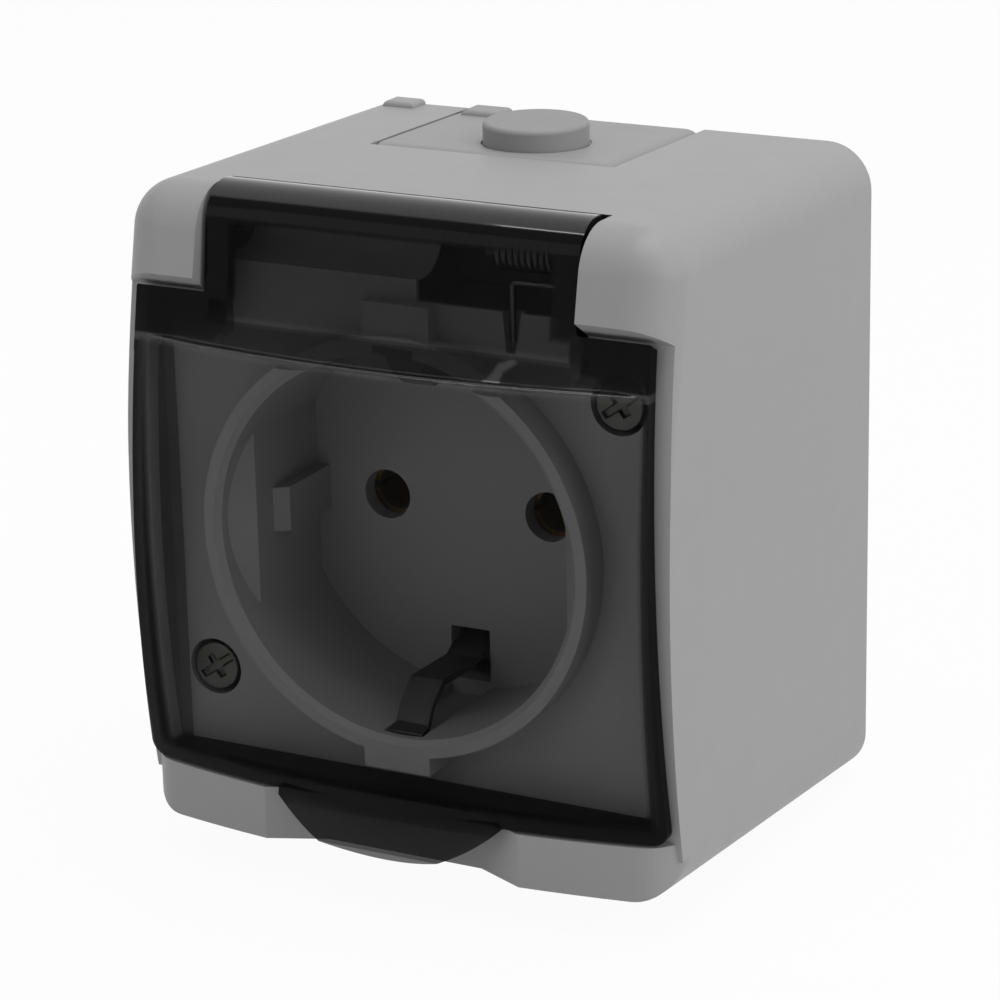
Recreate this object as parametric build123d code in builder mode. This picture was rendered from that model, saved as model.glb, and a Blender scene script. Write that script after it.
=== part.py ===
"""Outdoor wall socket with a spring-return lid.

Millimetres. +X right, the front faces -Y, +Z up. The wall face lies on y = 0 and the lower front edge of
the housing on z = 0.
"""
import os
from math import atan, cos, degrees, radians, sin, sqrt

from build123d import *

os.makedirs("parts", exist_ok=True)

# Socket face: recess, collar rim and face plate, with depths measured from the wall
recess_r = 20.2
collar_r = recess_r + 1.8
rim_y = -51.0
face_y = rim_y + 3.9
face_thick = 2.0
rim_chamfer = 0.6
floor_y = rim_y + 16.5
floor_thick = 2.0
cup_back = floor_y + floor_thick

# Plug pins
pin_pitch = 19.0
pin_hole_r = 2.7

# Housing, its height following from the collar between the lid's foot and the hinge
width = 62.0
half_w = width / 2
wall = 2.0
edge_r = 5.0
top_front_r = 5.2
low_edge_r = 4.5
inner_edge_r = 4.0
lid_low = 6.0
centre_z = lid_low + collar_r + 5.0
hinge_z = centre_z + collar_r + 9.65
height = hinge_z + 3.75
crown_y = rim_y + 1.05
rear_fall = 1.6
foot_fall = 4.5

# Hinge line of the lid, with the neck's round front and top about it
ledge_y = rim_y - 0.1
ledge_drop = 10.55
lid_slope = 0.144
neck_r = 4.0
hinge_y = ledge_y + lid_slope * ledge_drop + neck_r * sqrt(1 + lid_slope**2)
channel_half = half_w - 9.5
channel_r = neck_r + 0.3
seam_r = 8.1
hinge_gap = 0.5
seam_gap = 0.3

# Lid
lid_half = half_w - 0.7
neck_half = channel_half - hinge_gap
lid_front = rim_y - 5.0
lid_thick = 1.5
lid_plan_r = 130.0
lid_side_r = 150.0
lid_mid_z = centre_z - 1.0
edge_back = rim_y - 0.3
skirt_half = half_w - 3.0
skirt_thick = 1.2
skirt_back = face_y - 0.5
ledge_z = hinge_z - ledge_drop
front_edge_z = ledge_z - 1.1
front_edge_r = 0.85
slope_top = ledge_z + 0.9
lid_taper = 1.3
lid_low_corner = 1.6
lid_top_corner = 0.4
wing_top = hinge_z - 6.65
wing_seam_r = seam_r + seam_gap
wing_wall_r = wing_seam_r + 1.4
neck_shell = 1.4
neck_end = 40.0
cheek_thick = 1.6
ear_r = 3.3
tab_half = 12.7
tab_low = lid_low - 5.2
tab_front = rim_y - 4.7
tab_back = rim_y - 1.3

# Pocket behind the lid and the rim that the lid meets
pocket_half = skirt_half + 0.4
band_top = lid_low - seam_gap
rim_gap = 0.3

# Details of the face and the recess
lug_half = 3.8
lug_low = collar_r + 1.7
lug_high = collar_r + 3.3
flat_x = recess_r - 2.3
flat_start = 3.8
rib_x = recess_r - 3.8
rib_half = 2.4
rib_start = 6.8
slot_half = 2.3
slot_in = recess_r - 6.6
slot_out = recess_r - 0.8
groove_r = recess_r + 0.9
groove_start = 1.4

# Hinge pins and spring
pin_r = 1.3
pin_fit = 0.05
wire_r = 0.3
coil_r = 2.1
coil_end = channel_half - 4.3
coil_start = coil_end - 6.6
coil_turns = 9.5
leg_front = hinge_y - 0.6
leg_side = coil_start - 2.2
drop_x = coil_end - 5.1
drop_y = face_y + 0.7
drop_z = hinge_z - 3.3
leg_foot = hinge_z - 9.85

# Window of the spring and the slot of its fixed leg
window_right = coil_end + 1.1
window_left = window_right - 16.6
window_low = hinge_z - 6.25
window_high = hinge_z + 1.0
window_back = hinge_y + channel_r + 2.7
leg_slot_low = leg_foot - 0.6
leg_slot_back = face_y + 1.4

# Cover screws
screw_x = half_w - 7.1
screw_rise = 17.3
head_r = 2.6
head_h = 1.7
bore_r = 3.1
shank_r = 1.5
shank_hole_r = 1.8
post_r = 4.0
seat_y = face_y + 2.6

# Top cut-out and the entry plate in it
notch_left = 13.8 - half_w
notch_right = half_w - 19.4
notch_front = -22.5
notch_gap = 0.2
plate_round = 2.0
entry_x = (notch_left + notch_right) / 2 + 1.0
entry_y = -13.7
entry_hole_r = 4.2
disc_r = 5.7
disc_h = 2.7
pip_h = 0.7

# Back box
box_front = -26.5
box_half = half_w - wall - 0.5
box_wall = 1.8
box_back = 2.6
gasket_h = 1.2
frame_back = box_front - gasket_h

room_low = wall - foot_fall * (rim_y - 2.9 - frame_back) / (rim_y - 2.9)
box_low = room_low + 0.5
box_top = height - rear_fall - wall - 0.5
box_inner = box_half - box_wall
pillar_r = 3.6
wall_hole_r = 2.2
wall_slot = 8.0
wall_low = box_low + 9.2
wall_high = box_top - 7.8

# Room inside the cover
chamber_half = half_w - 4.0
chamber_top = hinge_z - 8.25
chamber_step = window_back + 2.0
post_back = box_front - 0.3
post_limit = box_inner - 0.1
notch_back = rim_y + 1.0

# Seals
seal_h = 0.8
seal_r = 2.9
shank_end = -16.0

# Contact block, tied to the earth strip that it holds
earth_half = 1.9
earth_arm_r = recess_r - 5.0
block_half = screw_x - pillar_r - 0.3
block_low = centre_z - earth_arm_r - 2.4
block_high = centre_z + earth_arm_r + 2.4
block_front = cup_back + 0.3
block_back = -14.5
plate_h = 1.5
strip_y = -24.0
strip_h = 0.8
strip_half = 3.2
room = 0.15
sleeve_r = 3.4
sleeve_bore_r = 2.45
sleeve_front = block_front + 0.3
sleeve_back = -20.0
collar_ring_r = 4.0
clamp_half = 3.6
clamp_high = block_high - 1.6
clamp_low = clamp_high - 8.0
clamp_z = clamp_low + 3.5
clamp_y = -19.6
clamp_back = block_back - 0.1
wire_hole_r = 1.7
terminal_r = 1.5
block_screw_x = block_half - 3.4
block_screw_rise = earth_arm_r - 2.7
back_screw_x = 9.5
back_screw_z = centre_z - 11.0
small_r = 1.2


def yz_face(points):
    """Return the closed flat face through (y, z) points on the middle plane."""
    with BuildSketch(Plane.YZ) as flat:
        with BuildLine():
            Polyline(*points, close=True)
        make_face()
    return flat.sketch


def side_depth(z, front):
    """Depth of a side curve that is furthest forward at lid_mid_z and recedes above and below it."""
    return front + lid_side_r - sqrt(lid_side_r**2 - (z - lid_mid_z) ** 2)


def plate_y(z, inset=0.0):
    """Depth of the lid's flat plate at a height, moved back by an inset."""
    return ledge_y + lid_slope * (z - ledge_z) + inset


def foot_z(y):
    """Height of the underside, which falls towards the wall by the mould's draft."""
    return foot_fall * (rim_y - 2.9 - y) / -(rim_y - 2.9)


def top_z(y):
    """Height of the cover's top, which falls slightly towards the wall."""
    return height - rear_fall * (crown_y - y) / crown_y


def hinge_point(radius, angle):
    """Point (y, z) at a radius from the hinge line, the angle in degrees from straight back."""
    return (hinge_y + radius * cos(radians(angle)), hinge_z + radius * sin(radians(angle)))


def hinge_disc(radius):
    """Flat round face about the hinge line."""
    with BuildSketch(Plane.YZ) as flat:
        with Locations((hinge_y, hinge_z)):
            Circle(radius)
    return flat.sketch


def plan_face(half, front, radius, back, level, corner=0.0):
    """Face seen from above: straight sides and back, a front bowed outwards, its corners rounded."""
    bow = front + radius - sqrt(radius**2 - half**2)
    with BuildSketch(Plane.XY.offset(level)) as flat:
        with BuildLine():
            Polyline((-half, bow), (-half, back), (half, back), (half, bow))
            ThreePointArc((half, bow), (0, front), (-half, bow))
        make_face()
        if corner:
            fillet(flat.vertices().group_by(Axis.Y)[0], corner)
    return flat.sketch


def front_plane(y):
    """Plane facing the front at a depth y; local x is X and local y is Z."""
    return Plane.XZ.offset(-y)


def disc(x, z, radius, y):
    """Flat round face that looks to the front."""
    with BuildSketch(front_plane(y)) as flat:
        with Locations((x, z)):
            Circle(radius)
    return flat.sketch


def panel(x0, x1, z0, z1, y, low_r=0.0, high_r=0.0):
    """Flat rectangle that looks to the front, from its limits, with rounded lower and upper corners."""
    with BuildSketch(front_plane(y)) as flat:
        with Locations(((x0 + x1) / 2, (z0 + z1) / 2)):
            Rectangle(x1 - x0, z1 - z0)
        if high_r:
            fillet(flat.vertices().group_by(Axis.Y)[-1], high_r)
        if low_r:
            fillet(flat.vertices().group_by(Axis.Y)[0], low_r)
    return flat.sketch


def post_face(x, z, radius, y):
    """Round face of a screw post, cut flat beside the sealing frame."""
    with BuildSketch(front_plane(y)) as flat:
        with Locations((x, z)):
            Circle(radius)
        with Locations((0, centre_z)):
            Rectangle(2 * post_limit, 2 * height, mode=Mode.INTERSECT)
    return flat.sketch


def screws(places, seat, head, thick, shank, length, way=1, turn=35):
    """Equal screws with cross-and-slot heads before the seat, or behind it where way is -1."""
    with BuildPart() as group:
        for x, z in places:
            extrude(disc(x, z, head, seat), amount=way * thick)
            extrude(disc(x, z, shank, seat), amount=-way * length)
            with BuildSketch(front_plane(seat - way * thick)):
                with Locations((x, z)):
                    Rectangle(1.7 * head, 0.3 * head, rotation=turn)
                    Rectangle(0.34 * head, head, rotation=turn)
            extrude(amount=-way * 0.4 * thick, mode=Mode.SUBTRACT)
    return group.part


def save(part, name):
    """Name the part and write its file."""
    part.label = name
    export_step(part, f"parts/{name}.step")


# Front cover: outside of the shoulders and of the walls beside the lid
seam_z = hinge_z - sqrt(seam_r**2 - (hinge_y - rim_y + 0.8) ** 2)
rim_meet_y = rim_y + 1.6
rim_meet_z = hinge_z - sqrt(seam_r**2 - (hinge_y - rim_meet_y) ** 2)
rim_front = edge_back + rim_gap
face_back = face_y + face_thick

pocket = yz_face([(rim_y - 10, band_top), (face_y, band_top), (face_y, hinge_z), (rim_y - 10, hinge_z)])
pocket = pocket - hinge_disc(seam_r)
channel = yz_face(
    [
        (rim_y - 10, centre_z + 15),
        (face_y, centre_z + 15),
        (face_y, hinge_z),
        (hinge_y, hinge_z),
        (hinge_y, height + 5),
        (rim_y - 10, height + 5),
    ]
)
channel = channel + hinge_disc(channel_r)
relief_low = front_edge_z - lid_thick - 2 * seam_gap
relief_top = hinge_z - 5.95
relief = yz_face(
    [
        (rim_y - 5, relief_low),
        (plate_y(relief_low, lid_thick + seam_gap), relief_low),
        (plate_y(relief_top, lid_thick + seam_gap), relief_top),
        (rim_y - 5, relief_top),
    ]
)
relief = relief - hinge_disc(seam_r)
turns = (-1, 1)
cover_posts = [(turn * screw_x, centre_z + turn * screw_rise) for turn in turns]

with BuildPart() as cover_shell:
    with BuildSketch(Plane.YZ):
        with BuildLine():
            low = (side_depth(band_top - 2, rim_front), band_top - 2)
            mid = (rim_front, lid_mid_z)
            meet = (side_depth(rim_meet_z, rim_front), rim_meet_z)
            brow = (rim_y - 0.8, seam_z)
            crown = (crown_y, height)
            rear = (0, top_z(0))
            Line((0, band_top - 2), low)
            ThreePointArc(low, mid, meet)
            Line(meet, brow)
            Line(brow, crown)
            Line(crown, rear)
            Line(rear, (0, band_top - 2))
        make_face()
    extrude(amount=half_w, both=True)
    brow_edge = cover_shell.edges().filter_by(Axis.X).group_by(Axis.Z)[-1].sort_by(Axis.Y)[0]
    fillet(brow_edge, top_front_r)
    # Side edges of the shoulders, rounded from the front over to the top
    side_edges = [
        e
        for e in cover_shell.edges()
        if abs(abs(e.center().X) - half_w) < 0.01 and e.center().Z > seam_z + 0.5 and e.center().Y < -1
    ]
    fillet(side_edges, edge_r)
    # Band below the lid, bowed to the front
    extrude(plan_face(half_w, rim_y - 2.9, lid_plan_r, 0, -foot_fall, edge_r), amount=band_top + foot_fall)
    # Drafted underside with rounded side edges
    fall = (0, 8 - rim_y, foot_z(0) - foot_z(rim_y - 8))
    extrude(panel(-half_w, half_w, foot_z(rim_y - 8), height + 9, rim_y - 8, low_edge_r), dir=Vector(fall).normalized(),
            amount=Vector(fall).length, mode=Mode.INTERSECT)
    # Hollow inside
    extrude(panel(-chamber_half, chamber_half, 2 * wall, chamber_top, face_back), amount=face_back - frame_back,
            mode=Mode.SUBTRACT)
    extrude(panel(-chamber_half, chamber_half, chamber_top - 1, height - 2 * wall, chamber_step),
            amount=chamber_step - frame_back, mode=Mode.SUBTRACT)
    extrude(panel(wall - half_w, half_w - wall, room_low, top_z(0) - wall, frame_back, inner_edge_r, inner_edge_r),
            amount=frame_back, mode=Mode.SUBTRACT)
    # Pocket behind the lid, kept off the shoulders by the seam round the hinge line
    extrude(pocket, amount=pocket_half, both=True, mode=Mode.SUBTRACT)
    # Channel of the lid's neck
    extrude(channel, amount=channel_half, both=True, mode=Mode.SUBTRACT)
    # Collar and recess cup
    extrude(disc(0, centre_z, collar_r, rim_y), amount=rim_y - cup_back)
    extrude(disc(0, centre_z, recess_r, rim_y), amount=rim_y - floor_y, mode=Mode.SUBTRACT)
    rim_edge = cover_shell.edges().filter_by(GeomType.CIRCLE)
    rim_edge = [e for e in rim_edge if abs(e.center().Y - rim_y) < 0.01 and abs(e.radius - recess_r) < 0.01]
    chamfer(rim_edge, rim_chamfer)
    extrude(panel(-lug_half, lug_half, centre_z - lug_low, centre_z - collar_r + 1, rim_y), amount=rim_y - face_y)
    lug_front = plate_y(centre_z + lug_high, lid_thick + seam_gap)
    extrude(panel(-lug_half, lug_half, centre_z + collar_r - 1, centre_z + lug_high, lug_front),
            amount=lug_front - face_y)
    # Relief of the collar and its upper lug behind the lid's flat plate
    extrude(relief, amount=pocket_half, both=True, mode=Mode.SUBTRACT)

# Flat cheeks and ribs at the sides of the recess
with BuildPart() as side_pads:
    for turn in turns:
        with BuildSketch(Plane.XY.offset(centre_z)):
            with BuildLine():
                Polyline(
                    (turn * (recess_r + 0.6), rim_y + 1.2),
                    (turn * flat_x, rim_y + flat_start),
                    (turn * flat_x, floor_y + 0.5),
                    (turn * (recess_r + 0.6), floor_y + 0.5),
                    close=True,
                )
            make_face()
        extrude(amount=recess_r - 8, both=True)
        with BuildSketch(Plane.XY.offset(centre_z)):
            with BuildLine():
                Polyline(
                    (turn * (flat_x + 0.4), rim_y + rib_start),
                    (turn * rib_x, rim_y + rib_start + 1.2),
                    (turn * rib_x, floor_y + 0.5),
                    (turn * (flat_x + 0.4), floor_y + 0.5),
                    close=True,
                )
            make_face()
        extrude(amount=rib_half, both=True)
    extrude(disc(0, centre_z, recess_r + 0.5, 0), amount=60, mode=Mode.INTERSECT)



def pip(x, length, depth, drop):
    """Low moulded hump at the rear edge of the top, its upper edges rounded."""
    with BuildPart() as hump:
        with BuildSketch(Plane.XY.offset(top_z(0) - 1.2)):
            with Locations((x, -depth / 2)):
                Rectangle(length, depth)
        extrude(amount=1.2 + pip_h - drop)
        fillet(hump.edges().group_by(Axis.Z)[-1], pip_h - 0.1)
    return hump.part


with BuildPart() as front_cover:
    add(cover_shell.part)
    add(side_pads.part)
    # Pin holes, and a slot with a wall groove for each earth clip
    for turn in turns:
        extrude(disc(turn * pin_pitch / 2, centre_z, pin_hole_r, floor_y - 1), amount=-(floor_thick + 2),
                mode=Mode.SUBTRACT)
        slot_z = sorted((centre_z + turn * slot_in, centre_z + turn * slot_out))
        extrude(panel(-slot_half, slot_half, *slot_z, floor_y - 1), amount=-(floor_thick + 2), mode=Mode.SUBTRACT)
        groove_z = sorted((centre_z + turn * (recess_r - 3), centre_z + turn * groove_r))
        extrude(panel(-slot_half, slot_half, *groove_z, rim_y + groove_start),
                amount=-(floor_y - rim_y - groove_start), mode=Mode.SUBTRACT)
    # Screw posts with their counterbores
    for post in cover_posts:
        extrude(post_face(*post, post_r, face_back - 0.5), amount=-(post_back - face_back + 0.5))
        extrude(disc(*post, bore_r, face_y - 1), amount=-(seat_y - face_y + 1), mode=Mode.SUBTRACT)
        extrude(disc(*post, shank_hole_r, face_y), amount=-(post_back - face_y + 1), mode=Mode.SUBTRACT)
    # Spring window and the slot of the spring's fixed leg
    extrude(panel(window_left, window_right, window_low, window_high, rim_y), amount=rim_y - window_back,
            mode=Mode.SUBTRACT)
    with BuildSketch(front_plane(rim_y)):
        with BuildLine():
            Polyline((drop_x - 0.9, window_low + 1), (drop_x - 0.5, leg_slot_low), (drop_x + 0.5, leg_slot_low),
                     (drop_x + 1.5, window_low + 1), close=True)
        make_face()
    extrude(amount=rim_y - leg_slot_back, mode=Mode.SUBTRACT)
    # Top cut-out, open to the wall
    with BuildSketch(Plane.XY.offset(box_top + 0.1)):
        with Locations(((notch_left + notch_right) / 2, notch_front / 2)):
            Rectangle(notch_right - notch_left, -notch_front)
    extrude(amount=6, mode=Mode.SUBTRACT)
    # Finger notch behind the lid's tab
    with BuildSketch(Plane.XY.offset(-1)):
        with BuildLine():
            Polyline((-tab_half - 3.3, rim_y - 4), (-tab_half - 2.4, rim_y - 2.2), (3.7 - tab_half, notch_back),
                     (tab_half - 3.7, notch_back), (tab_half + 2.4, rim_y - 2.2), (tab_half + 3.3, rim_y - 4),
                     close=True)
        make_face()
    extrude(amount=band_top + 2, mode=Mode.SUBTRACT)
    # Moulded pip on the rear edge of the top
    add(pip(6.4 - half_w, 3.8, 3.0, 0))
    # Pin holes of the hinge
    for turn in turns:
        with BuildSketch(Plane.YZ.offset(turn * (channel_half - 1))):
            with Locations((hinge_y, hinge_z)):
                Circle(pin_r)
        extrude(amount=turn * 5, mode=Mode.SUBTRACT)

save(front_cover.part, "front_cover")

# Back box, with the entry plate that fills the cover's top cut-out
with BuildPart() as base_box:
    extrude(panel(-box_half, box_half, box_low, box_top, 0), amount=-box_front)
    fillet(base_box.edges().filter_by(Axis.Y), inner_edge_r - 0.5)
    extrude(panel(-box_inner, box_inner, box_low + box_wall, box_top - box_wall, -box_back),
            amount=-box_front, mode=Mode.SUBTRACT)
    for post in cover_posts:
        extrude(disc(*post, pillar_r, -box_back + 0.5), amount=-(box_front + box_back) + 0.5)
        extrude(disc(*post, shank_r, box_front - 1), amount=-(shank_end + 2 - box_front), mode=Mode.SUBTRACT)
    for x in turns:
        for z in turns:
            extrude(disc(x * block_screw_x, centre_z + z * block_screw_rise, pillar_r - 0.4, -box_back + 0.5),
                    amount=-(block_back + box_back) + 0.5)
    for z in (wall_low, wall_high):
        with BuildSketch(front_plane(1)):
            with Locations((0, z)):
                SlotOverall(wall_slot, 2 * wall_hole_r, rotation=90)
        extrude(amount=box_back + 2, mode=Mode.SUBTRACT)

with BuildPart() as entry_plate:
    with BuildSketch(Plane.XY.offset(box_top - 0.5)):
        with Locations(((notch_left + notch_right) / 2, notch_front / 2 + notch_gap / 2)):
            Rectangle(notch_right - notch_left - 2 * notch_gap, -notch_front - notch_gap)
    extrude(amount=5)
    extrude(yz_face([(-30, top_z(-30) - 0.1), (1, top_z(1) - 0.1), (1, height + 5), (-30, height + 5)]),
            amount=half_w, both=True, mode=Mode.SUBTRACT)
    plate_edges = entry_plate.faces().sort_by(Axis.Z)[-1].edges()
    fillet([e for e in plate_edges if e.center().Y < -0.1 and e.center().X > notch_left + 1], plate_round)
    add(pip(notch_left + 3.2, 4.6, 3.6, 0.1))

disc_seat = top_z(entry_y + disc_r) - 0.15
block_places = [(turn * block_screw_x, centre_z - block_screw_rise) for turn in turns]
with BuildPart() as base_done:
    add(base_box.part)
    add(entry_plate.part)
    with BuildSketch(Plane.XY.offset(box_top - 4)):
        with Locations((entry_x, entry_y)):
            Circle(entry_hole_r)
    extrude(amount=10, mode=Mode.SUBTRACT)
    with BuildSketch(Plane.XY.offset(disc_seat)):
        with Locations((entry_x, entry_y)):
            Circle(disc_r + 0.2)
    extrude(amount=3, mode=Mode.SUBTRACT)
    for place in block_places:
        extrude(disc(*place, terminal_r, block_back - 1), amount=-9, mode=Mode.SUBTRACT)
save(base_done.part, "base_box")

# Cable entry disc with its neck and the flange that holds it under the plate
with BuildPart() as entry_grommet:
    with BuildSketch(Plane.XZ.offset(-entry_y)):
        with BuildLine():
            Polyline(
                (entry_x, disc_seat + disc_h),
                (entry_x + disc_r - 0.3, disc_seat + disc_h),
                (entry_x + disc_r, disc_seat + disc_h - 0.3),
                (entry_x + disc_r, disc_seat),
                (entry_x + entry_hole_r, disc_seat),
                (entry_x + entry_hole_r, box_top - box_wall),
                (entry_x + entry_hole_r + 0.9, box_top - box_wall),
                (entry_x + entry_hole_r, box_top - box_wall - 1.4),
                (entry_x, box_top - box_wall - 1.4),
                close=True,
            )
        make_face()
    revolve(axis=Axis((entry_x, entry_y, 0), (0, 0, 1)))
save(entry_grommet.part, "entry_grommet")

# Seal between the cover's step and the front edge of the back box
with BuildPart() as base_gasket:
    extrude(panel(-box_half + 0.3, box_half - 0.3, box_low + 0.3, box_top - 0.3, box_front), amount=gasket_h)
    fillet(base_gasket.edges().filter_by(Axis.Y), inner_edge_r - 0.8)
    extrude(panel(-box_inner - 0.2, box_inner + 0.2, box_low + box_wall - 0.2, box_top - box_wall + 0.2,
                  box_front + 1), amount=gasket_h + 2, mode=Mode.SUBTRACT)
save(base_gasket.part, "base_gasket")

# Cover screws and the rings under their heads
with BuildPart() as screw_seals:
    for post in cover_posts:
        extrude(disc(*post, seal_r, seat_y), amount=seal_h)
        extrude(disc(*post, shank_r + 0.1, seat_y + 1), amount=seal_h + 2, mode=Mode.SUBTRACT)
save(screw_seals.part, "screw_seals")
save(screws(cover_posts, seat_y - seal_h, head_r, head_h, shank_r, shank_end - seat_y + seal_h), "cover_screws")

# Contact block: bores for the sleeves, channels for the strips, pockets for the clamps
with BuildPart() as contact_carrier:
    extrude(panel(-block_half, block_half, block_low, block_high, block_front), amount=-(block_back - block_front))
    fillet(contact_carrier.edges().filter_by(Axis.Y), 2.0)
    for x in (-pin_pitch / 2, 0, pin_pitch / 2):
        half = clamp_half + room
        extrude(panel(x - half, x + half, clamp_low, block_high + 1, strip_y), amount=-(block_back - strip_y + 1),
                mode=Mode.SUBTRACT)
        half = strip_half + room
        extrude(panel(x - half, x + half, clamp_low, clamp_high, block_front - 1), amount=-(strip_y - block_front + 1),
                mode=Mode.SUBTRACT)
    for turn in turns:
        x = turn * pin_pitch / 2
        extrude(disc(x, centre_z, sleeve_r + room, block_front - 1), amount=-(sleeve_back - block_front + 1.3),
                mode=Mode.SUBTRACT)
        extrude(disc(x, centre_z, collar_ring_r + room, block_front - 1), amount=-7.5, mode=Mode.SUBTRACT)
        extrude(panel(x - strip_half - room, x + strip_half + room, centre_z, clamp_low + 1, block_front - 1),
                amount=-(strip_y - block_front + 1), mode=Mode.SUBTRACT)
    arm = earth_arm_r + strip_h + 0.4
    extrude(panel(-earth_half - room, earth_half + room, centre_z - arm, centre_z + arm, block_front - 1),
            amount=-(strip_y - block_front + 1), mode=Mode.SUBTRACT)
    for place in block_places:
        extrude(disc(*place, head_r + 0.3, block_front - 1), amount=-(head_h + 1.4), mode=Mode.SUBTRACT)
        extrude(disc(*place, shank_hole_r, block_front), amount=-(block_back - block_front + 1), mode=Mode.SUBTRACT)
    for turn in turns:
        extrude(disc(turn * back_screw_x, back_screw_z, small_r, block_back + 1), amount=6, mode=Mode.SUBTRACT)
save(contact_carrier.part, "contact_carrier")

# Insulating plate on the back of the block
back_places = [(turn * back_screw_x, back_screw_z) for turn in turns]
with BuildPart() as carrier_back:
    extrude(panel(-block_half + 0.4, block_half - 0.4, block_low + 0.4, block_high - 0.4, block_back),
            amount=-plate_h)
    for x in turns:
        for z in turns:
            extrude(disc(x * block_screw_x, centre_z + z * block_screw_rise, pillar_r, block_back - 1),
                    amount=-plate_h - 2, mode=Mode.SUBTRACT)
    for place in back_places:
        extrude(disc(*place, small_r + 0.2, block_back - 1), amount=-plate_h - 2, mode=Mode.SUBTRACT)
save(carrier_back.part, "carrier_back")

# Contact sleeves with their strips
def contact(x):
    """Slit sleeve for one plug pin, with a strip up to its clamp."""
    with BuildPart() as sleeve:
        extrude(disc(x, centre_z, sleeve_r, sleeve_front), amount=-(sleeve_back - sleeve_front))
        extrude(panel(x - strip_half, x + strip_half, centre_z, clamp_high - 1, strip_y), amount=strip_h)
        extrude(disc(x, centre_z, sleeve_bore_r, sleeve_front - 1), amount=-(sleeve_back - sleeve_front),
                mode=Mode.SUBTRACT)
        extrude(disc(x, clamp_z, terminal_r + 0.1, strip_y + 1), amount=strip_h + 2, mode=Mode.SUBTRACT)
        extrude(panel(x - 5, x + 5, centre_z - 0.4, centre_z + 0.4, sleeve_front - 1), amount=-6.5,
                mode=Mode.SUBTRACT)
    return sleeve.part


save(contact(-pin_pitch / 2), "live_contact")
save(contact(pin_pitch / 2), "neutral_contact")

with BuildPart() as sleeve_springs:
    for turn in turns:
        extrude(disc(turn * pin_pitch / 2, centre_z, collar_ring_r, sleeve_front + 2), amount=-3.0)
        extrude(disc(turn * pin_pitch / 2, centre_z, sleeve_r, sleeve_front + 1), amount=-5.0, mode=Mode.SUBTRACT)
save(sleeve_springs.part, "sleeve_springs")

# Clamps, one behind each strip
for name, x in (("live_clamp", -pin_pitch / 2), ("earth_clamp", 0), ("neutral_clamp", pin_pitch / 2)):
    with BuildPart() as clamp:
        extrude(panel(x - clamp_half, x + clamp_half, clamp_low, clamp_high, strip_y), amount=-(clamp_back - strip_y))
        extrude(disc(x, clamp_z, terminal_r, strip_y - 1), amount=-(clamp_y - strip_y + 1), mode=Mode.SUBTRACT)
        with BuildSketch(Plane.XY.offset(clamp_high + 1)):
            with Locations((x, clamp_y)):
                Circle(wire_hole_r)
        extrude(amount=-7.5, mode=Mode.SUBTRACT)
    save(clamp.part, name)

# Earth strip: a U through the block with a bent clip at each end
clip = [
    (strip_y, earth_arm_r + strip_h),
    (rim_y + 15.9, earth_arm_r + strip_h),
    (rim_y + 14.2, recess_r - 3.3),
    (rim_y + 7.2, recess_r - 3.6),
    (rim_y + 4.9, recess_r - 1.8),
    (rim_y + 3.9, recess_r),
    (rim_y + 1.9, recess_r + 0.6),
    (rim_y + 1.9, recess_r - 0.1),
    (rim_y + 3.4, recess_r - 0.6),
    (rim_y + 4.3, recess_r - 2.3),
    (rim_y + 6.9, recess_r - 4.4),
    (rim_y + 14.6, recess_r - 4.1),
    (rim_y + 16.1, earth_arm_r),
    (strip_y - strip_h, earth_arm_r),
]
with BuildPart() as earth_strap:
    for turn in turns:
        extrude(yz_face([(y, centre_z + turn * r) for y, r in clip]), amount=earth_half, both=True)
    arm = earth_arm_r + strip_h
    extrude(panel(-earth_half, earth_half, centre_z - arm, centre_z + arm, strip_y), amount=strip_h)
    extrude(panel(-strip_half, strip_half, clamp_low + 0.3, centre_z + arm - 1.2, strip_y), amount=strip_h)
    extrude(disc(0, clamp_z, terminal_r + 0.1, strip_y + 1), amount=strip_h + 2, mode=Mode.SUBTRACT)
save(earth_strap.part, "earth_strap")

terminal_places = [(x, clamp_z) for x in (-pin_pitch / 2, 0, pin_pitch / 2)]
save(screws(terminal_places, strip_y - strip_h, 2.3, 1.6, terminal_r, strip_h + 3.6), "terminal_screws")
save(screws(block_places, block_front + 0.4 + head_h, head_r, head_h, terminal_r,
            block_back + 5 - block_front - head_h - 0.4), "carrier_screws")
save(screws(back_places, block_back + plate_h, 2.1, 1.2, small_r, plate_h + 4.2, way=-1), "back_screws")

# Hinge pins, fixed in the shoulders
pin_end = half_w - 5.6
pin_ends = ((-pin_end, 3.1 - channel_half), (coil_start - 1.4, pin_end))
for name, (left, right) in zip(("hinge_pin_left", "hinge_pin_right"), pin_ends):
    with BuildPart() as pin:
        with BuildSketch(Plane.YZ.offset(left)):
            with Locations((hinge_y, hinge_z)):
                Circle(pin_r)
        extrude(amount=right - left)
    save(pin.part, name)

# Lid: outlines seen from the side, for the bowed part, the flat plate above it and the neck
def belly_outline(inset):
    """Limits (y, z) of the bowed part, up to its front edge."""
    top = front_edge_z - inset
    return yz_face(
        [(rim_y - 12, lid_low + inset), (skirt_back, lid_low + inset), (skirt_back, top), (rim_y - 12, top)]
    )


def plate_outline(inset, top):
    """Flat plate above the bowed part, back to the edge of the skirt."""
    return yz_face(
        [
            (plate_y(ledge_z - 3 - inset, inset), ledge_z - 3 - inset),
            (skirt_back, ledge_z - 3 - inset),
            (skirt_back, top),
            (plate_y(top, inset), top),
        ]
    )


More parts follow.
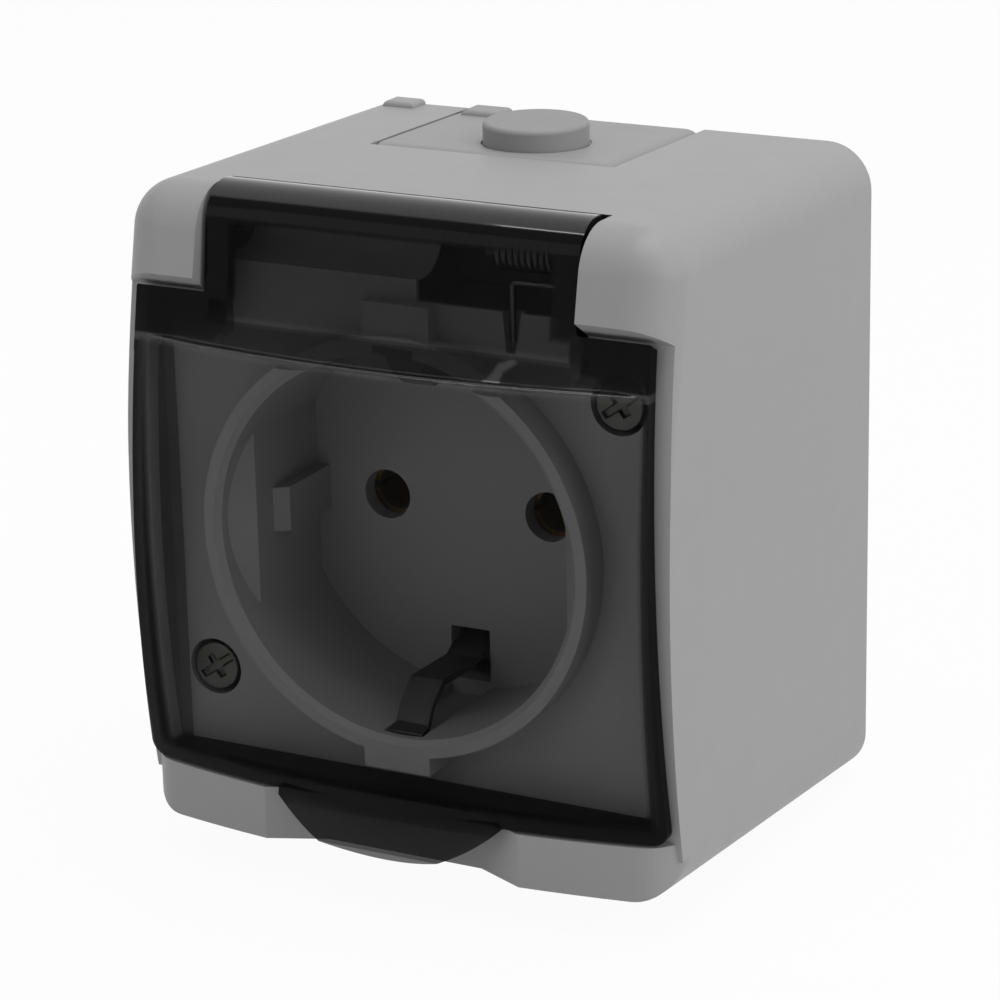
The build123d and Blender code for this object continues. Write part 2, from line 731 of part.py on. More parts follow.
def neck_outline(inset):
    """Front of the neck and its round top about the hinge line, ended by a cut towards that line."""
    radius = neck_r - inset
    lean = degrees(atan(lid_slope))
    front = hinge_point(radius, 180 - lean)
    with BuildSketch(Plane.YZ) as flat:
        with BuildLine():
            Line((plate_y(hinge_z - 4, inset), hinge_z - 4), front)
            ThreePointArc(front, hinge_point(radius, 110), hinge_point(radius, neck_end))
            Polyline(hinge_point(radius, neck_end), (hinge_y, hinge_z), (hinge_y - 1, hinge_z - 4),
                     (plate_y(hinge_z - 4, inset), hinge_z - 4))
        make_face()
    return flat.sketch


def belly(inset, limit):
    """Solid of the double-bowed front, its plan arc turned about a far axis along X."""
    front = lid_front + inset
    radius = lid_plan_r - inset
    half = lid_half + 2
    bow = front + radius - sqrt(radius**2 - half**2)
    axis_y = lid_front + lid_side_r
    with BuildPart() as bowed:
        with BuildSketch(Plane.XY.offset(lid_mid_z)):
            with BuildLine():
                Polyline((-half, bow), (-half, skirt_back + 6), (half, skirt_back + 6), (half, bow))
                ThreePointArc((half, bow), (0, front), (-half, bow))
            make_face()
        revolve(axis=Axis((0, axis_y, lid_mid_z), (1, 0, 0)))
        extrude(belly_outline(inset), amount=limit, both=True, mode=Mode.INTERSECT)
    return bowed.part


def behind_rim(x):
    """Side view, at one x, of the room behind the curve where the lid meets the cover's rim."""
    high = (side_depth(ledge_z + 8, edge_back), ledge_z + 8)
    low = (side_depth(lid_low - 1, edge_back), lid_low - 1)
    with BuildSketch(Plane.YZ.offset(x)) as flat:
        with BuildLine():
            ThreePointArc(low, (edge_back, lid_mid_z), high)
            Polyline(high, (skirt_back + 9, ledge_z + 8), (skirt_back + 9, lid_low - 1), low)
        make_face()
    return flat.sketch


with BuildSketch(front_plane(skirt_back)) as lid_shape:
    with BuildLine():
        Polyline((-lid_half, lid_low), (lid_half, lid_low), (lid_half - lid_taper, wing_top),
                 (lid_taper - lid_half, wing_top), close=True)
    make_face()
    fillet(lid_shape.vertices().group_by(Axis.Y)[-1], lid_top_corner)
    fillet(lid_shape.vertices().group_by(Axis.Y)[0], lid_low_corner)
    with Locations((0, hinge_z - 4)):
        Rectangle(2 * neck_half, 24)
lid_face = lid_shape.sketch
edge_front = side_depth(front_edge_z, lid_front) + front_edge_r
with BuildPart() as lid_belly:
    add(belly(0, lid_half))
    top_front = lid_belly.edges().group_by(Axis.Z)[-1].sort_by(Axis.Y)[0]
    fillet(top_front, front_edge_r)
    # Slope from the front edge up to the flat plate
    slope_low = plan_face(lid_half, edge_front, lid_plan_r, skirt_back, front_edge_z)
    slope_high = plan_face(lid_half, plate_y(slope_top) + 0.1, 100 * lid_plan_r, skirt_back, slope_top)
    loft([slope_low, slope_high], ruled=True)
belly_hollow = belly(lid_thick, skirt_half - skirt_thick)
wing_plate = plate_outline(0, wing_top + 1) - hinge_disc(wing_seam_r)
wing_hollow = plate_outline(lid_thick, wing_top + 1) - hinge_disc(wing_wall_r)
neck_plate = plate_outline(0, hinge_z - 3)
neck_hollow = plate_outline(neck_shell, hinge_z - 3)
cheek_half = neck_half - cheek_thick

cheek_points = [
    (plate_y(ledge_z - 1), ledge_z - 1),
    hinge_point(neck_r - 0.05, 171),
    hinge_point(neck_r - 0.05, 145),
    hinge_point(neck_r - 0.05, 118),
    (hinge_y, hinge_z + ear_r),
    (hinge_y, hinge_z - 1),
    (hinge_y - 2.5, hinge_z - 3.4),
    (hinge_y - 1.9, hinge_z - 4.4),
    (hinge_y - 2.1, hinge_z - 4.9),
    (face_y - 0.5, hinge_z - 4.9),
    (face_y - 0.5, ledge_z - 1),
]

# Lift tab: a half-round dish below the lid's edge, running forward to a creased lower rim
with BuildPart() as lid_tab:
    with BuildSketch(Plane.YZ):
        with BuildLine():
            root = (side_depth(lid_low, lid_front) + 0.1, lid_low + 0.4)
            crease = (tab_front, tab_low + 1.3)
            ThreePointArc(root, (tab_front + 1.2, tab_low + 3.2), crease)
            Polyline(crease, (tab_front + 1.3, tab_low), (tab_back - 0.9, tab_low + 0.8), (tab_back, lid_low - 0.6),
                     (tab_back, lid_low + 0.9), root)
        make_face()
    extrude(amount=tab_half, both=True)
    with BuildSketch(front_plane(tab_back)):
        with BuildLine():
            Polyline((-tab_half, lid_low - 0.4), (-tab_half, lid_low + 1), (tab_half, lid_low + 1),
                     (tab_half, lid_low - 0.4))
            ThreePointArc((-tab_half, lid_low - 0.4), (0, tab_low), (tab_half, lid_low - 0.4))
        make_face()
    extrude(amount=10, mode=Mode.INTERSECT)

with BuildPart() as lid:
    add(lid_belly.part)
    extrude(wing_plate, amount=lid_half, both=True)
    extrude(neck_plate, amount=neck_half, both=True)
    extrude(neck_outline(0), amount=neck_half, both=True)
    extrude(lid_face, amount=20, both=True, mode=Mode.INTERSECT)
    # Hollow behind the front, between the skirts
    add(belly_hollow, mode=Mode.SUBTRACT)
    extrude(wing_hollow, amount=skirt_half - skirt_thick, both=True, mode=Mode.SUBTRACT)
    extrude(neck_hollow, amount=cheek_half, both=True, mode=Mode.SUBTRACT)
    extrude(neck_outline(neck_shell), amount=neck_half + 1, both=True, mode=Mode.SUBTRACT)
    # The outer edges end at the cover's rim, outside the skirt
    for turn in turns:
        extrude(behind_rim(turn * skirt_half), amount=turn * 8, mode=Mode.SUBTRACT)
    # Cheeks with their ears round the pins, and the bores
    for turn in turns:
        with BuildSketch(Plane.YZ.offset(turn * cheek_half)):
            with BuildLine():
                Polyline(*cheek_points, close=True)
            make_face()
            with Locations((hinge_y, hinge_z)):
                Circle(ear_r)
                Circle(pin_r + pin_fit, mode=Mode.SUBTRACT)
        extrude(amount=turn * cheek_thick)
    add(lid_tab.part)
save(lid.part, "lid")

# Lid spring: a coil on the right pin, one leg hooked to the lid and one down in the window
coil_pitch = (coil_end - coil_start) / coil_turns
with BuildPart() as lid_spring:
    with BuildLine() as coil:
        Helix(coil_pitch, coil_end - coil_start, coil_r, center=(coil_start, hinge_y, hinge_z),
              direction=(1, 0, 0), lefthand=True)
    with BuildSketch(Plane(origin=coil.line @ 0, z_dir=coil.line % 0)):
        RegularPolygon(wire_r, 6)
    sweep(path=coil.line)
    with BuildSketch(front_plane(hinge_y)):
        with Locations((coil_start, hinge_z + coil_r)):
            RegularPolygon(wire_r, 6)
    extrude(amount=hinge_y - leg_front + wire_r)
    with BuildSketch(Plane.YZ.offset(leg_side)):
        with Locations((leg_front, hinge_z + coil_r)):
            RegularPolygon(wire_r, 6)
    extrude(amount=coil_start - leg_side + wire_r)
    with BuildSketch(front_plane(hinge_y)):
        with Locations((coil_end, hinge_z - coil_r)):
            RegularPolygon(wire_r, 6)
    extrude(amount=hinge_y - drop_y + wire_r)
    with BuildSketch(Plane.XY.offset(drop_z - wire_r)):
        with Locations((coil_end, drop_y)):
            RegularPolygon(wire_r, 6)
    extrude(amount=hinge_z - coil_r - drop_z + 2 * wire_r)
    with BuildSketch(Plane.YZ.offset(drop_x - wire_r)):
        with Locations((drop_y, drop_z)):
            RegularPolygon(wire_r, 6)
    extrude(amount=coil_end - drop_x + 2 * wire_r)
    with BuildSketch(Plane.XY.offset(leg_foot)):
        with Locations((drop_x, drop_y)):
            RegularPolygon(wire_r, 6)
    extrude(amount=drop_z - leg_foot)
save(lid_spring.part, "lid_spring")
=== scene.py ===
"""Outdoor wall socket with a smoked spring-return lid: the dressed model, its stage and its camera."""
from math import cos, pi, radians, sin

import bmesh
import bpy
import numpy as np
from mathutils import Matrix, Vector


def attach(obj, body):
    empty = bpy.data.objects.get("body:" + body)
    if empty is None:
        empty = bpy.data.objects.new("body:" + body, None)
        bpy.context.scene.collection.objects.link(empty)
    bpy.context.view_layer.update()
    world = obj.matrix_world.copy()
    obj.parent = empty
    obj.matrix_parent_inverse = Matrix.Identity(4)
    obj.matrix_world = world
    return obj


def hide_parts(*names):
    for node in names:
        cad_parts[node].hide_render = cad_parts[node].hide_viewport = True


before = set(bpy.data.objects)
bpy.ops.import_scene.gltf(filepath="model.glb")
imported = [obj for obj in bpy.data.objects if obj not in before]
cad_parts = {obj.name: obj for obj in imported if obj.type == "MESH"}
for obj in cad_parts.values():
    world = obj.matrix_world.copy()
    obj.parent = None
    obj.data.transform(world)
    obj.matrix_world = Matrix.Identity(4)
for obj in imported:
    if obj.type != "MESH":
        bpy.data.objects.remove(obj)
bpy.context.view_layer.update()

# Back box: an injection-moulded box of hard grey plastic screwed to the wall. The pillow-edged plate
# on its top fills the cut-out of the cover and carries the cable entry.
MM = 0.001
MERGE = 0.002 * MM
FLAT = radians(0.4)


class Socket:
    """A shader socket or a number, with sums that add Math nodes."""

    def __init__(self, tree, value):
        self.tree = tree
        self.value = value

    def math(self, operation, *others):
        node = self.tree.nodes.new("ShaderNodeMath")
        node.operation = operation
        for slot, item in zip(node.inputs, (self, *others)):
            item = item.value if isinstance(item, Socket) else item
            if isinstance(item, bpy.types.NodeSocket):
                self.tree.links.new(item, slot)
            else:
                slot.default_value = item
        return Socket(self.tree, node.outputs[0])

    def __add__(self, other):
        return self.math("ADD", other)

    __radd__ = __add__

    def __sub__(self, other):
        return self.math("SUBTRACT", other)

    def __rsub__(self, other):
        return Socket(self.tree, other).math("SUBTRACT", self)

    def __mul__(self, other):
        return self.math("MULTIPLY", other)

    __rmul__ = __mul__

    def above(self, edge, soft):
        """0 below the edge, 1 above it, over a soft width centred on it."""
        return ((self - (edge - soft / 2)) * (1.0 / soft)).math("MINIMUM", 1.0).math("MAXIMUM", 0.0)

    def either(self, other):
        return self.math("MAXIMUM", other)

    def both(self, other):
        return self.math("MINIMUM", other)

    def size(self):
        return self.math("ABSOLUTE")


class Graph:
    """A tree of shader nodes, all of which come from node()."""

    def __init__(self, tree):
        self.tree = tree

    def node(self, kind, settings=None, **values):
        """Adds a node: its settings first, then the values or links of its sockets."""
        node = self.tree.nodes.new(kind)
        for key, value in (settings or {}).items():
            setattr(node, key, value)
        sockets = {s.identifier.replace(" ", "_"): s for s in node.inputs}
        for key, value in values.items():
            self.feed(sockets[key], value)
        return {o.identifier.replace(" ", "_"): Socket(self.tree, o) for o in node.outputs}

    def feed(self, socket, value):
        value = value.value if isinstance(value, Socket) else value
        if isinstance(value, bpy.types.NodeSocket):
            self.tree.links.new(value, socket)
        else:
            socket.default_value = value


class Finish(Graph):
    """A material on one Principled shader, laid out on object coordinates."""

    def __init__(self, name, **settings):
        self.material = bpy.data.materials.new(name)
        self.material.use_nodes = True
        super().__init__(self.material.node_tree)
        self.shader = self.tree.nodes["Principled BSDF"]
        for socket, value in settings.items():
            self.shader.inputs[socket.replace("_", " ")].default_value = value
        self.place = self.node("ShaderNodeTexCoord")["Object"]

    def noise(self, scale, detail=3.0, rough=0.5, at=None):
        return self.node("ShaderNodeTexNoise", Vector=at or self.place, Scale=scale, Detail=detail,
                         Roughness=rough)["Fac"]

    def mix(self, factor, a, b):
        """Mixes two colours."""
        return self.node("ShaderNodeMix", {"data_type": "RGBA"}, Factor_Float=factor, A_Color=a,
                         B_Color=b)["Result_Color"]

    def axes(self):
        """Place on the object along X, Y and Z, in millimetres."""
        found = self.node("ShaderNodeSeparateXYZ", Vector=self.place)
        return found["X"] * 1000.0, found["Y"] * 1000.0, found["Z"] * 1000.0

    def bump(self, height, strength, distance):
        """Bends the surface's normal by a height, over a distance in metres."""
        bent = self.node("ShaderNodeBump", Strength=strength, Distance=distance, Height=height)
        self.paint("Normal", bent["Normal"])

    def paint(self, socket, value):
        self.feed(self.shader.inputs[socket], value)


def shade(value):
    """A neutral grey."""
    return (value, value, value, 1)


def moulded(name, grey, rough=0.5, grain=0.35):
    """Moulded plastic: a fine spark-eroded grain, faint flow clouds, and a gloss that varies a little."""
    skin = Finish(name, Specular_IOR_Level=0.4)
    cloud = skin.noise(38.0, 4.0)
    fleck = skin.noise(1400.0, 2.0)
    tone = skin.mix(cloud, shade(grey * 0.965), shade(grey * 1.035))
    skin.tone = skin.mix(0.12 * fleck, tone, shade(grey * 0.8))
    skin.paint("Base Color", skin.tone)
    skin.paint("Roughness", rough - 0.05 + 0.1 * skin.noise(260.0, 3.0))
    skin.bump(skin.noise(2600.0, 2.0, 0.6) + 0.5 * skin.noise(900.0, 2.0), grain, 0.00003)
    return skin


def paint_node(name, finish):
    """Gives a solid of the frame its finish."""
    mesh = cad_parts[name].data
    mesh.materials.clear()
    mesh.materials.append(finish.material)


def dressed(name, node, finish, width=0.0, segments=2, smooth=32):
    """A merged copy of a solid with softened edges, which stands in the solid's place. The width of the
    softened edge is in millimetres, and edges sharper than the smooth angle, in degrees, count as edges."""
    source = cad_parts[node]
    mesh = source.data.copy()
    mesh.name = name
    work = bmesh.new()
    work.from_mesh(mesh)
    bmesh.ops.remove_doubles(work, verts=work.verts, dist=MERGE)
    bmesh.ops.dissolve_limit(work, angle_limit=FLAT, verts=work.verts, edges=work.edges,
                             delimit={"NORMAL"})
    work.to_mesh(mesh)
    work.free()
    piece = bpy.data.objects.new(name, mesh)
    bpy.context.scene.collection.objects.link(piece)
    mesh.materials.clear()
    mesh.materials.append(finish.material)
    mesh.shade_smooth()
    mesh.set_sharp_from_angle(angle=radians(smooth))
    if width:
        edge = piece.modifiers.new("edge", "BEVEL")
        edge.width = width * MM
        edge.segments = segments
        edge.limit_method = "ANGLE"
        edge.angle_limit = radians(smooth)
        edge.use_clamp_overlap = True
    flat = piece.modifiers.new("flat", "WEIGHTED_NORMAL")
    flat.keep_sharp = True
    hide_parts(node)
    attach(piece, "lid" if node == "lid" else "housing")


GREY = 0.30
base_plastic = moulded("base_plastic", GREY * 0.93, 0.52)
dressed("back_box", "base_box", base_plastic, 0.2)

# Cable entry: a soft grey disc pressed through the plate from above and held by a flange. Its thin
# middle is pierced by the cable when the socket is fitted.
soft_plastic = moulded("soft_plastic", GREY * 0.9, 0.62, 0.25)
dressed("entry_disc", "entry_grommet", soft_plastic, 0.15)

# Seals: a flat black rubber ring between the cover's step and the front edge of the back box, and a small
# ring under the head of each cover screw.
rubber = Finish("seal_rubber", Roughness=0.8, Specular_IOR_Level=0.3)
rubber.paint("Base Color", rubber.mix(rubber.noise(300.0), shade(0.018), shade(0.035)))
rubber.bump(rubber.noise(1800.0), 0.4, 0.00005)
paint_node("base_gasket", rubber)
paint_node("screw_seals", rubber)

# Contact block: hard black insulating moulding screwed into the back box behind the recess. It holds the
# contacts and is closed from behind by a pressed board.
block_plastic = moulded("block_moulding", 0.03, 0.45, 0.2)
paint_node("contact_carrier", block_plastic)
board = Finish("pressed_board", Roughness=0.75)
fibre_dark, fibre_light = (0.035, 0.028, 0.022, 1), (0.07, 0.055, 0.04, 1)
board.paint("Base Color", board.mix(board.noise(700.0, 5.0), fibre_dark, fibre_light))
board.bump(board.noise(1500.0, 4.0), 0.3, 0.00005)
paint_node("carrier_back", board)

# Current-carrying pieces: rolled brass sleeves with steel spring collars for the plug's pins, and clamps
# sawn from brass bar behind their strips.
def metal(name, dark, light, rough, streak=(1, 1, 1), scale=900.0):
    """Bare or plated metal: drawn or rolled streaks along one axis and small patches of duller skin."""
    skin = Finish(name, Metallic=1.0)
    lines = skin.node("ShaderNodeMapping", Vector=skin.place, Scale=streak)["Vector"]
    streaks = skin.noise(scale, 4.0, at=lines)
    patch = skin.noise(160.0, 4.0)
    skin.paint("Base Color", skin.mix(0.6 * streaks + 0.4 * patch, dark, light))
    skin.paint("Roughness", rough - 0.08 + 0.12 * streaks + 0.08 * patch)
    skin.bump(streaks, 0.15, 0.00002)
    return skin


# The sleeves' brass is painted darker than bare brass: painted shade that keeps the pin holes dark.
brass = metal("rolled_brass", (0.2, 0.12, 0.04, 1), (0.36, 0.24, 0.1, 1), 0.4, (1, 0.15, 1))
bar_brass = metal("bar_brass", (0.40, 0.26, 0.09, 1), (0.62, 0.44, 0.2, 1), 0.4, (0.2, 1, 1))
spring_steel = metal("spring_strip", shade(0.22), shade(0.42), 0.3)
for node in ("live_contact", "neutral_contact"):
    paint_node(node, brass)
for node in ("live_clamp", "neutral_clamp", "earth_clamp"):
    paint_node(node, bar_brass)
paint_node("sleeve_springs", spring_steel)

# Earth strip: stamped plated steel that crosses the block and is bent into a spring clip at each end.
# Both clips reach through the recess floor to the plug's side contacts.
# The strip is painted nearly black, darker than plated steel: painted shade for its place deep in the
# recess.
strip = metal("stamped_strip", shade(0.025), shade(0.07), 0.5, (1, 1, 0.2))
dressed("earth_strip", "earth_strap", strip, 0.12)

# Screws: zinc-plated steel with combined cross and slot heads, two for the cover, three in the clamps,
# two for the block and two for the board on its back.
# The screws are painted much darker than bright zinc plating: painted shade for their place deep behind the
# smoked lid.
plated = metal("plated_screw", (0.06, 0.06, 0.057, 1), (0.14, 0.14, 0.135, 1), 0.36)
for piece, node in (("screws_of_cover", "cover_screws"), ("screws_of_clamps", "terminal_screws"),
                    ("screws_of_block", "carrier_screws"), ("screws_of_board", "back_screws")):
    dressed(piece, node, plated, 0.15, 2)

# Front cover: one grey moulding with the face plate, the collar and recess, the shoulders that hold the
# hinge pins and the band under the lid. Its edges are radiused by the mould. The pocket round the spring
# is painted dark, as its shadow looks in the photograph.
cover_plastic = moulded("cover_plastic", GREY, 0.48)
x, y, z = cover_plastic.axes()
POCKET_LEFT, POCKET_RIGHT = 1.6, 18.4
POCKET_FRONT, POCKET_BACK = -46.6, -38.3
POCKET_LOW, POCKET_HIGH = 58.3, 65.8
# Painted shadow: inside this box round the spring the cover's colour is painted near black.
pocket_shadow = x.above(POCKET_LEFT, 0.2).both(1 - x.above(POCKET_RIGHT, 0.2))
pocket_shadow = pocket_shadow.both(y.above(POCKET_FRONT, 0.2)).both(1 - y.above(POCKET_BACK, 0.2))
pocket_shadow = pocket_shadow.both(z.above(POCKET_LOW, 0.2)).both(1 - z.above(POCKET_HIGH, 0.3))
cover_plastic.paint("Base Color", cover_plastic.mix(pocket_shadow, cover_plastic.tone, shade(0.012)))
dressed("cover", "front_cover", cover_plastic, 0.25, 2, 30)

# Hinge pins: short ground steel pins pressed into the shoulders. The left one only carries its cheek of
# the lid, the right one is long enough for the spring.
# The pins are painted far darker than ground steel: painted shade for their place in the shoulders behind
# the lid.
pin_steel = metal("ground_pin", shade(0.04), shade(0.1), 0.3, (0.1, 1, 1))
for name, node in (("left_pin", "hinge_pin_left"), ("right_pin", "hinge_pin_right")):
    dressed(name, node, pin_steel, 0.2)

# Lid spring: drawn steel wire wound round the right pin, nine turns and a half. One leg drops into a slot
# of the face plate, the other leans on the lid from behind and goes round with it.
# The wire is painted far darker than drawn steel: painted shade for the dark pocket it sits in.
spring_wire = metal("spring_wire", shade(0.05), shade(0.2), 0.22)
HINGE_Y, HINGE_Z = -45.54, 64.65
COIL_LEFT, COIL_RIGHT = 10.6, 17.2
COIL_R, WIRE_R, TURNS = 2.1, 0.3, 9.5
DROP_X, DROP_Y, DROP_Z, DROP_FOOT = 12.1, -46.4, 61.35, 54.8
LEG_FRONT = HINGE_Y - 0.6
LEG_REACH = 2.2
BEND, SHORT_BEND = 0.5, 0.3


def wire(name, path, radius, sides=12):
    """A round wire with closed ends: each ring is the path's point plus the radius times the cosine of the
    turn along one axis and its sine along a second, both square to the path. The first axis is the path's
    direction crossed with X, or with Y where the path runs along X."""
    along = np.gradient(path, axis=0)
    along /= np.linalg.norm(along, axis=1)[:, None]
    helper = np.where(np.abs(along[:, :1]) < 0.9, np.array([[1.0, 0, 0]]), np.array([[0, 1.0, 0]]))
    first = np.cross(along, helper)
    first /= np.linalg.norm(first, axis=1)[:, None]
    second = np.cross(along, first)
    turn = np.linspace(0, 2 * pi, sides, endpoint=False)
    rings = path[:, None] + radius * (np.cos(turn)[None, :, None] * first[:, None]
                                      + np.sin(turn)[None, :, None] * second[:, None])
    points = rings.reshape(-1, 3)
    row, col = np.meshgrid(np.arange(len(path) - 1), np.arange(sides), indexing="ij")
    a = row * sides + col
    b = row * sides + (col + 1) % sides
    faces = np.stack((a, b, b + sides, a + sides), -1).reshape(-1, 4).tolist()
    last = (len(path) - 1) * sides
    faces += [list(range(sides))[::-1], list(range(last, last + sides))]
    mesh = bpy.data.meshes.new(name)
    mesh.from_pydata(points.tolist(), [], faces)
    work = bmesh.new()
    work.from_mesh(mesh)
    bmesh.ops.recalc_face_normals(work, faces=work.faces)
    work.to_mesh(mesh)
    work.free()
    mesh.shade_smooth()
    mesh.set_sharp_from_angle(angle=radians(60))
    piece = bpy.data.objects.new(name, mesh)
    bpy.context.scene.collection.objects.link(piece)
    mesh.materials.append(spring_wire.material)
    return piece


def run(start, end, count=8):
    """Straight run of points from a start to an end, both left out."""
    part = np.linspace(0, 1, count + 2)[1:-1, None]
    return np.array(start) * (1 - part) + np.array(end) * part


def elbow(corner, before, after, count=7):
    """Quarter bend at a corner: the corner plus the bend times (1 - sine) back along the way in and times
    (1 - cosine) on along the way out."""
    angle = np.linspace(0, pi / 2, count)[:, None]
    back, on = np.array(before), np.array(after)
    return np.array(corner) + BEND * ((1 - np.sin(angle)) * back + (1 - np.cos(angle)) * on)


turn = np.linspace(0, 2 * pi * TURNS, 380)
coil = np.stack((COIL_LEFT + (COIL_RIGHT - COIL_LEFT) * turn / turn[-1],
                 HINGE_Y + COIL_R * np.sin(turn), HINGE_Z + COIL_R * np.cos(turn)), 1)
low = HINGE_Z - COIL_R
fixed_leg = [
    run((COIL_RIGHT, HINGE_Y, low), (COIL_RIGHT, DROP_Y + SHORT_BEND, low), 3),
    elbow((COIL_RIGHT, DROP_Y, low), (0, SHORT_BEND, 0), (0, 0, -1)),
    run((COIL_RIGHT, DROP_Y, low - BEND), (COIL_RIGHT, DROP_Y, DROP_Z + BEND), 3),
    elbow((COIL_RIGHT, DROP_Y, DROP_Z), (0, 0, 1), (-1, 0, 0)),
    run((COIL_RIGHT - BEND, DROP_Y, DROP_Z), (DROP_X + BEND, DROP_Y, DROP_Z)),
    elbow((DROP_X, DROP_Y, DROP_Z), (1, 0, 0), (0, 0, -1)),
    run((DROP_X, DROP_Y, DROP_Z - BEND), (DROP_X, DROP_Y, DROP_FOOT), 12),
]
spring = wire("spring_coil", np.concatenate([coil, *fixed_leg]) * MM, WIRE_R * MM)
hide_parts("lid_spring")
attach(spring, "housing")
high = HINGE_Z + COIL_R
lid_leg = [
    run((COIL_LEFT, HINGE_Y + WIRE_R, high), (COIL_LEFT, LEG_FRONT + BEND, high), 4),
    elbow((COIL_LEFT, LEG_FRONT, high), (0, 1, 0), (-1, 0, 0)),
    run((COIL_LEFT - BEND, LEG_FRONT, high), (COIL_LEFT - LEG_REACH, LEG_FRONT, high)),
]
leg = wire("spring_leg", np.concatenate(lid_leg) * MM, WIRE_R * MM)
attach(leg, "lid")

# Lid: one polished moulding of smoked clear plastic, bowed in plan and in side view, with a flat plate and
# a neck above it. Its cheeks turn on the pins. Where light passes along a wall the lid is painted denser,
# so that it comes out black.
smoked = Finish("smoked_clear", Base_Color=shade(0.004), IOR=1.5, Specular_IOR_Level=0.06,
                Coat_Roughness=0.04)
x, y, z = smoked.axes()
SIDE_X, FOOT_Z = 28.7, 7.6
WING_X, WING_LOW = 20.4, 52.6
CHEEK_IN, CHEEK_OUT, CHEEK_LOW = 18.2, 21.2, 57.2
SLOPE_LOW, SLOPE_HIGH, SLOPE_BACK = 52.7, 55.2, -50.9
CROWN_LOW, CROWN_BACK = 65.2, -44.4
PLATE_LOW, TAB_TOP = 55.3, 5.6
rim = x.size().above(SIDE_X, 0.8).either(1 - z.above(FOOT_Z, 0.8))
flanges = x.size().above(WING_X, 0.4).both(z.above(WING_LOW, 0.4))
cheeks = x.size().above(CHEEK_IN, 0.4).both(1 - x.size().above(CHEEK_OUT, 0.2))
cheeks = cheeks.both(z.above(CHEEK_LOW, 0.6))
slope = z.above(SLOPE_LOW, 0.3).both(1 - z.above(SLOPE_HIGH, 0.3)).both(1 - y.above(SLOPE_BACK, 0.3))
crown = z.above(CROWN_LOW, 0.4).both(1 - y.above(CROWN_BACK, 0.3))
# The plate and the neck are painted denser too: painted shade over what shows through them.
plate = z.above(PLATE_LOW, 0.4)
dense = rim.either(cheeks).either(flanges).either(slope).either(crown)
tab = 1 - z.above(TAB_TOP, 0.6)
haze = 0.02 * smoked.noise(60.0, 2.0)
smoked.paint("Alpha", 0.22 + 0.19 * plate + (0.62 - 0.14 * plate - 0.1 * tab) * dense + haze)
smoked.paint("Roughness", 0.03 + 0.04 * smoked.noise(90.0, 4.0))
# Painted highlights: a clear coat lies only on the ridge of the ledge and on the brow of the neck, so thin
# lines of light show along them.
RIDGE_LOW, RIDGE_HIGH = 52.2, 53.05
BROW_LOW, BROW_HIGH, BROW_BACK = 67.4, 68.8, -44.6
ridge_highlight = z.above(RIDGE_LOW, 0.15).both(1 - z.above(RIDGE_HIGH, 0.2))
brow_highlight = z.above(BROW_LOW, 0.2).both(1 - z.above(BROW_HIGH, 0.2)).both(1 - y.above(BROW_BACK, 0.4))
smoked.paint("Coat Weight", ridge_highlight.either(brow_highlight))
smoked.bump(smoked.noise(45.0, 0.0), 0.03, 0.0001)
dressed("smoked_lid", "lid", smoked, 0.3, 3, 25)

# Stage: a pale floor that shows white to the camera and keeps the soft shadow, a white backdrop, and
# soft studio lamps above, at the right and in front.
pale = Finish("pale_floor", Base_Color=shade(0.75), Roughness=0.9)
rays = pale.node("ShaderNodeLightPath")
white = pale.node("ShaderNodeEmission", Color=shade(1.0), Strength=1.0)["Emission"]
seen = rays["Is_Camera_Ray"].either(rays["Is_Glossy_Ray"]).either(rays["Is_Transmission_Ray"])
blend = pale.node("ShaderNodeMixShader", Fac=0.95 * seen,
                  Shader=Socket(pale.tree, pale.shader.outputs[0]), Shader_001=white)
pale.feed(pale.tree.nodes["Material Output"].inputs["Surface"], blend["Shader"])
floor_mesh = bpy.data.meshes.new("floor")
SPAN, FLOOR = 3.0, -0.0047
corners = [(-SPAN, -SPAN, FLOOR), (SPAN, -SPAN, FLOOR), (SPAN, SPAN, FLOOR), (-SPAN, SPAN, FLOOR)]
floor_mesh.from_pydata(corners, [], [(0, 1, 2, 3)])
floor = bpy.data.objects.new("floor", floor_mesh)
bpy.context.scene.collection.objects.link(floor)
floor_mesh.materials.append(pale.material)

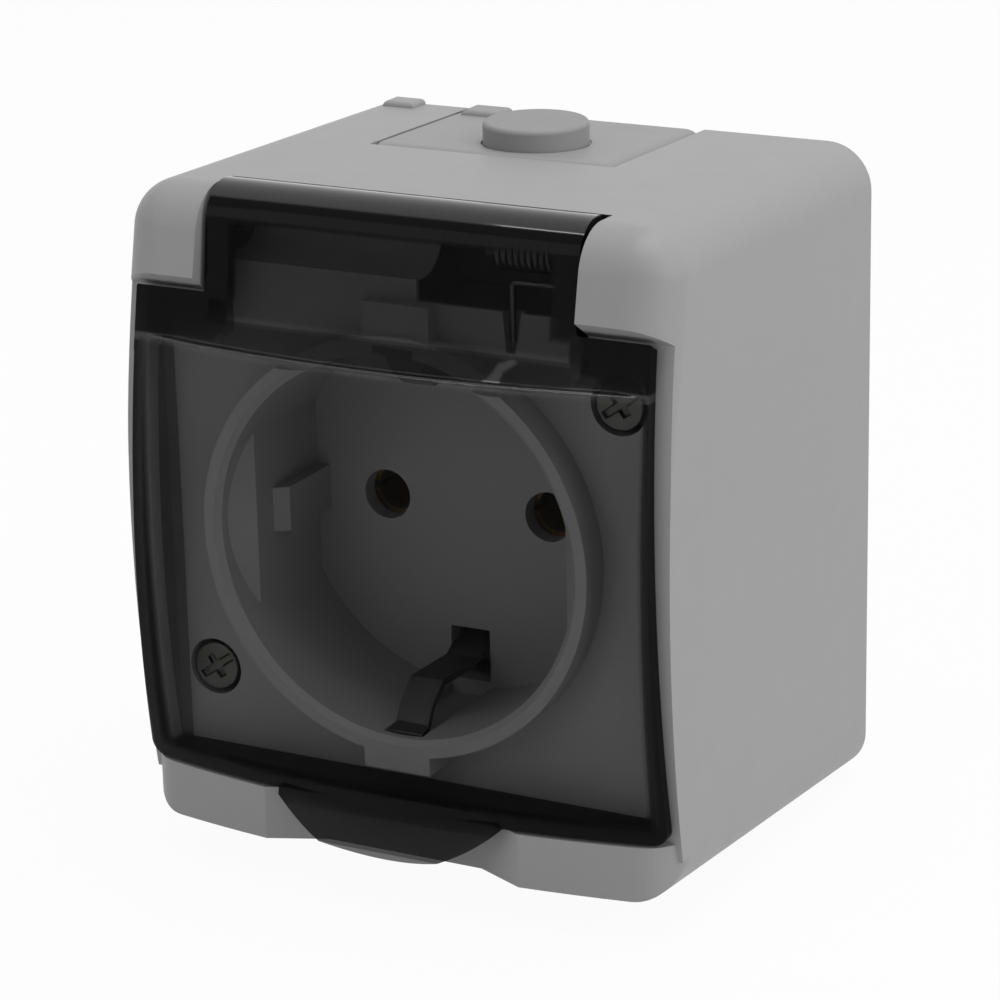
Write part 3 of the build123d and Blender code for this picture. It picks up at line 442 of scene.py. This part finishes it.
world = bpy.data.worlds.new("studio")
bpy.context.scene.world = world
world.use_nodes = True
sky = Graph(world.node_tree)
rays = sky.node("ShaderNodeLightPath")
seen = rays["Is_Camera_Ray"].either(rays["Is_Glossy_Ray"]).either(rays["Is_Transmission_Ray"])
backdrop = world.node_tree.nodes["Background"]
sky.feed(backdrop.inputs["Strength"], 0.33 + 0.67 * seen)
sky.feed(backdrop.inputs["Color"], shade(1.0))


def lamp(name, place, aim, size, power):
    """A square or, with two sizes, an oblong soft box at a place, facing an aim."""
    light = bpy.data.lights.new(name, "AREA")
    if isinstance(size, tuple):
        light.shape = "RECTANGLE"
        light.size, light.size_y = size
    else:
        light.size = size
    light.energy = power
    box = bpy.data.objects.new(name, light)
    box.location = place
    box.rotation_euler = (Vector(aim) - Vector(place)).to_track_quat("-Z", "Y").to_euler()
    bpy.context.scene.collection.objects.link(box)


CENTRE = (0, -0.03, 0.03)
lamp("top_box", (0.1, 0.1, 0.8), CENTRE, 0.6, 3.0)
lamp("right_box", (0.8, 0.0, 0.35), CENTRE, 0.7, 3.2)
lamp("front_box", (-0.35, -0.9, 0.45), CENTRE, 0.5, 1.0)
lamp("strip_box", (0.0, -0.25, 0.75), CENTRE, (0.7, 0.05), 0.7)

# Camera: in front of the socket, to its right and above it, 28 degrees round and 18 degrees up,
# at the distance whose perspective fits the photograph.
CAMERA_PLACE = Vector((0.17451, -0.35663, 0.15517))
AZIMUTH, ELEVATION, ROLL = radians(27.909), radians(18.369), radians(-1.2795)
LENS = 133.2
look = Vector((-sin(AZIMUTH) * cos(ELEVATION), cos(AZIMUTH) * cos(ELEVATION), -sin(ELEVATION)))
level = look.cross(Vector((0, 0, 1))).normalized()
rise = level.cross(look)
right = cos(ROLL) * level + sin(ROLL) * rise
up = cos(ROLL) * rise - sin(ROLL) * level
camera = bpy.data.objects.new("camera", bpy.data.cameras.new("camera"))
camera.data.lens = LENS
camera.data.sensor_width = 36.0
camera.matrix_world = Matrix((right, up, -look)).transposed().to_4x4()
camera.location = CAMERA_PLACE
bpy.context.scene.collection.objects.link(camera)
bpy.context.scene.camera = camera

bpy.context.scene.view_settings.view_transform = "Standard"
